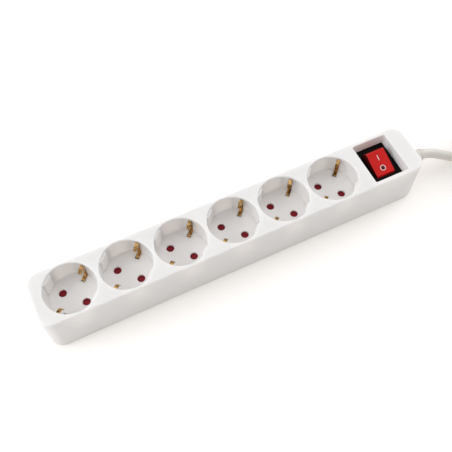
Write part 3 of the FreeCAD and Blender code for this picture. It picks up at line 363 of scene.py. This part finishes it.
def paint_flank_shade(made, colour):
    """Paints shade as a deeper colour on the faces that look along X."""
    tree = made.node_tree
    base = tree.nodes["Principled BSDF"].inputs["Base Color"]
    facing = tree.nodes.new("ShaderNodeSeparateXYZ")
    tree.links.new(tree.nodes["Texture Coordinate"].outputs["Normal"], facing.inputs["Vector"])
    share = tree.nodes.new("ShaderNodeMath")
    share.operation = "ABSOLUTE"
    tree.links.new(facing.outputs["X"], share.inputs[0])
    face_on = base.links[0].from_socket
    tree.links.new(blend_colours(tree, share.outputs["Value"], face_on, colour), base)


def housing_plastic():
    """White with a faint warmth, and slightly translucent so that the recesses stay light."""
    return material(
        "housing",
        (0.91, 0.875, 0.855),
        (0.92, 0.89, 0.87),
        (0.29, 0.35),
        mottle=25,
        grain=3000,
        depth=0.002,
        Subsurface_Weight=1.0,
        Subsurface_Radius=(1.0, 1.0, 1.0),
        Subsurface_Scale=3 * MM,
    )


def base_plastic():
    """The greyer and rougher white of the base plate."""
    return material("base", (0.72, 0.705, 0.685), (0.74, 0.725, 0.705), (0.38, 0.5), mottle=25, depth=0.03)


def frame_plastic():
    """The pale grey of the inner frame and the cord clamp."""
    return material("frame", (0.66, 0.66, 0.63), (0.7, 0.7, 0.68), (0.4, 0.55))


def shutter_red():
    """The dark red that shows through the pin holes."""
    colour = (0.25, 0.004, 0.015)
    shade = (0.18, 0.003, 0.01)
    return material("shutter", colour, shade, (0.3, 0.4), mottle=300, Specular_IOR_Level=0.2)


def switch_black():
    """The near black of the switch frame."""
    colour = (0.001, 0.0005, 0.0005)
    shade = (0.002, 0.001, 0.001)
    return material("bezel", colour, shade, (0.3, 0.4), mottle=150, Specular_IOR_Level=0.08)


def rocker_red():
    """Bright red, with painted shade on the flanks and a dark spot of painted shade inside the off mark."""
    colour = (0.62, 0.008, 0.006)
    shade = (0.54, 0.006, 0.004)
    made = material("rocker", colour, shade, (0.28, 0.36), mottle=120, Specular_IOR_Level=0.2)
    # The flanks get painted shade: a near black red on the faces that look along X.
    paint_flank_shade(made, (0.07, 0.002, 0.002))
    # The dark spot inside the off mark is painted shade.
    add_painted_shade_spot(made, OFF_MARK, OFF_SHADE_SPOT, (0.1, 0.004, 0.002))
    return made


def mark_white():
    """The white of the rocker's marks."""
    return material("marks", (0.8, 0.72, 0.7), (0.72, 0.64, 0.62), (0.35, 0.5), mottle=600)


def lamp_glass():
    """The orange glass of the neon lamp."""
    colour = (0.9, 0.5, 0.3)
    shade = (0.8, 0.4, 0.25)
    return material("lamp", colour, shade, (0.05, 0.1), Transmission_Weight=0.8)


def plunger_plastic():
    """The ivory plastic of the plungers."""
    return material("plunger", (0.75, 0.73, 0.68), (0.7, 0.68, 0.62), (0.35, 0.5))


def contact_brass():
    """The brass of the rails, the switch contacts and the plug's earth strips."""
    return brushed("contacts", (0.78, 0.56, 0.26), (0.68, 0.47, 0.2), (0.25, 0.4))


def clip_bronze():
    """The earth contacts: golden, with painted shade in dark patches."""
    # The near black second colour is painted shade, laid on in patches.
    return brushed("clips", (0.88, 0.56, 0.23), (0.07, 0.026, 0.008), (0.1, 0.22), mottle=480)


def terminal_tin():
    """The tinned terminals."""
    return brushed("terminals", (0.7, 0.69, 0.66), (0.6, 0.59, 0.56), (0.25, 0.4))


def spring_steel():
    """The plain steel wire of the springs."""
    return brushed("springs", (0.55, 0.55, 0.56), (0.45, 0.45, 0.46), (0.2, 0.35))


def screw_steel():
    """The plated steel of the screws."""
    return brushed("screws", (0.6, 0.6, 0.58), (0.5, 0.5, 0.47), (0.25, 0.42))


def pin_nickel():
    """The nickel plate of the plug's pins."""
    return brushed("pins", (0.66, 0.65, 0.61), (0.58, 0.57, 0.53), (0.15, 0.3), stretch=ALONG_PIN)


def cord_pvc():
    """The off-white skin of the cord."""
    return material("cord_skin", PALE_PVC, SHADED_PVC, (0.38, 0.52), mottle=45, depth=0.03)


def plug_pvc():
    """The cord's colour again on the plug, a little glossier."""
    return material("plug_skin", PALE_PVC, SHADED_PVC, (0.36, 0.5), mottle=45, depth=0.03)


def tie_black():
    """The black cloth of the tie round the hank."""
    colour = (0.02, 0.02, 0.02)
    shade = (0.035, 0.035, 0.035)
    return material("tie_cloth", colour, shade, (0.6, 0.8), mottle=400, depth=0.08)


def bridge_plastic():
    """The grey bridge between the plug's pins."""
    return material("bridge", (0.5, 0.5, 0.49), (0.45, 0.45, 0.44), (0.4, 0.55))


def wire_brown():
    """The brown skin of the live wires."""
    return material("brown_wire", (0.11, 0.045, 0.02), (0.09, 0.035, 0.015), (0.35, 0.5))


def wire_blue():
    """The blue skin of the neutral wires."""
    return material("blue_wire", (0.02, 0.1, 0.42), (0.015, 0.08, 0.36), (0.35, 0.5))


def wire_earth():
    """The yellow and green skin of the earth wire."""
    return banded("earth_wire", (0.5, 0.48, 0.03), (0.05, 0.25, 0.05), (0.35, 0.5))


# Each of these is named after the slot of the record that it finishes.
FINISHES = [
    housing_plastic,
    base_plastic,
    frame_plastic,
    shutter_red,
    switch_black,
    rocker_red,
    mark_white,
    lamp_glass,
    plunger_plastic,
    contact_brass,
    clip_bronze,
    terminal_tin,
    spring_steel,
    screw_steel,
    pin_nickel,
    cord_pvc,
    plug_pvc,
    tie_black,
    bridge_plastic,
    wire_brown,
    wire_blue,
    wire_earth,
]


def make_materials():
    """The finish of every material slot, by the slot's name."""
    return {finish.__name__: finish() for finish in FINISHES}


def dress(made):
    """Gives every CAD node the finish of its slot."""
    for part in frame["record"]["subparts"]:
        mesh = NODES[part["node"]].data
        mesh.materials.clear()
        mesh.materials.append(made[part["material_slot"]])


# ---------------------------------------------------------------- floor and light

# The surround: its colours, the way it is brightest, and where along that way each colour is reached.
DIM_SIDE = (0.06, 0.05, 0.042)
BRIGHT_SIDE = (0.93, 0.93, 0.93)
BRIGHT_WAY = (0, 0.28, 0.96)
DIM_END = 0.03
BRIGHT_END = 0.85

# The two lights: where they stand, their power in watts, and the size and colour of both.
KEY_PLACE = (-1.5, 0.22, 0.9)
KEY_POWER = 13
FILL_PLACE = (1.5, 0.22, 0.9)
FILL_POWER = 9
LIGHT_SIZE = 1.2
LIGHT_COLOUR = (0.97, 1.0, 1.03)

# The floor: half its width, how far it lies under the strip, and the colour and strength of its glow.
FLOOR_REACH = 30
FLOOR_DROP = 0.2 * MM
FLOOR_TINT = (1, 0.95, 0.905, 1)
FLOOR_GLOW = 0.19


def add_floor():
    """A plain pale floor that glows faintly, just under the strip and large enough to fill every view."""
    mesh = bpy.data.meshes.new("floor")
    reach = FLOOR_REACH
    corners = [(-reach, -reach, 0), (reach, -reach, 0), (reach, reach, 0), (-reach, reach, 0)]
    mesh.from_pydata(corners, [], [(0, 1, 2, 3)])
    floor = bpy.data.objects.new("floor", mesh)
    floor.location.z = -FLOOR_DROP
    bpy.context.scene.collection.objects.link(floor)
    paper = material(
        "floor_paper",
        (0.94, 0.92, 0.9),
        (0.96, 0.94, 0.92),
        (0.75, 0.9),
        mottle=3,
        grain=300,
        Specular_IOR_Level=0.1,
        Emission_Color=FLOOR_TINT,
        Emission_Strength=FLOOR_GLOW,
    )
    mesh.materials.append(paper)


def add_light(name, place, power):
    """A large round light, turned towards the origin."""
    data = bpy.data.lights.new(name, "AREA")
    data.shape = "DISK"
    data.size = LIGHT_SIZE
    data.energy = power
    data.color = LIGHT_COLOUR
    light = bpy.data.objects.new(name, data)
    bpy.context.scene.collection.objects.link(light)
    light.location = place
    light.rotation_euler = (-Vector(place)).to_track_quat("-Z", "Y").to_euler()


def add_world():
    """A white studio: bright overhead and a little behind, dim and warm towards the horizon."""
    world = bpy.data.worlds.new("studio")
    bpy.context.scene.world = world
    world.use_nodes = True
    tree = world.node_tree
    towards = tree.nodes.new("ShaderNodeVectorMath")
    towards.operation = "DOT_PRODUCT"
    tree.links.new(tree.nodes.new("ShaderNodeTexCoord").outputs["Generated"], towards.inputs[0])
    towards.inputs[1].default_value = BRIGHT_WAY
    share = tree.nodes.new("ShaderNodeMapRange")
    share.inputs["From Min"].default_value = DIM_END
    share.inputs["From Max"].default_value = BRIGHT_END
    tree.links.new(towards.outputs["Value"], share.inputs["Value"])
    colour = blend_colours(tree, share.outputs["Result"], DIM_SIDE, BRIGHT_SIDE)
    tree.links.new(colour, tree.nodes["Background"].inputs["Color"])


def light_the_stage():
    """High-key studio light: a soft key from the left, a weaker fill from the right, and the surround."""
    add_world()
    add_light("key", KEY_PLACE, KEY_POWER)
    add_light("fill", FILL_PLACE, FILL_POWER)
    bpy.context.scene.view_settings.view_transform = "Standard"


add_camera()
supply_cord = add_cord()
finishes = make_materials()
dress(finishes)
supply_cord.data.materials.append(finishes["cord_pvc"])
add_floor()
light_the_stage()
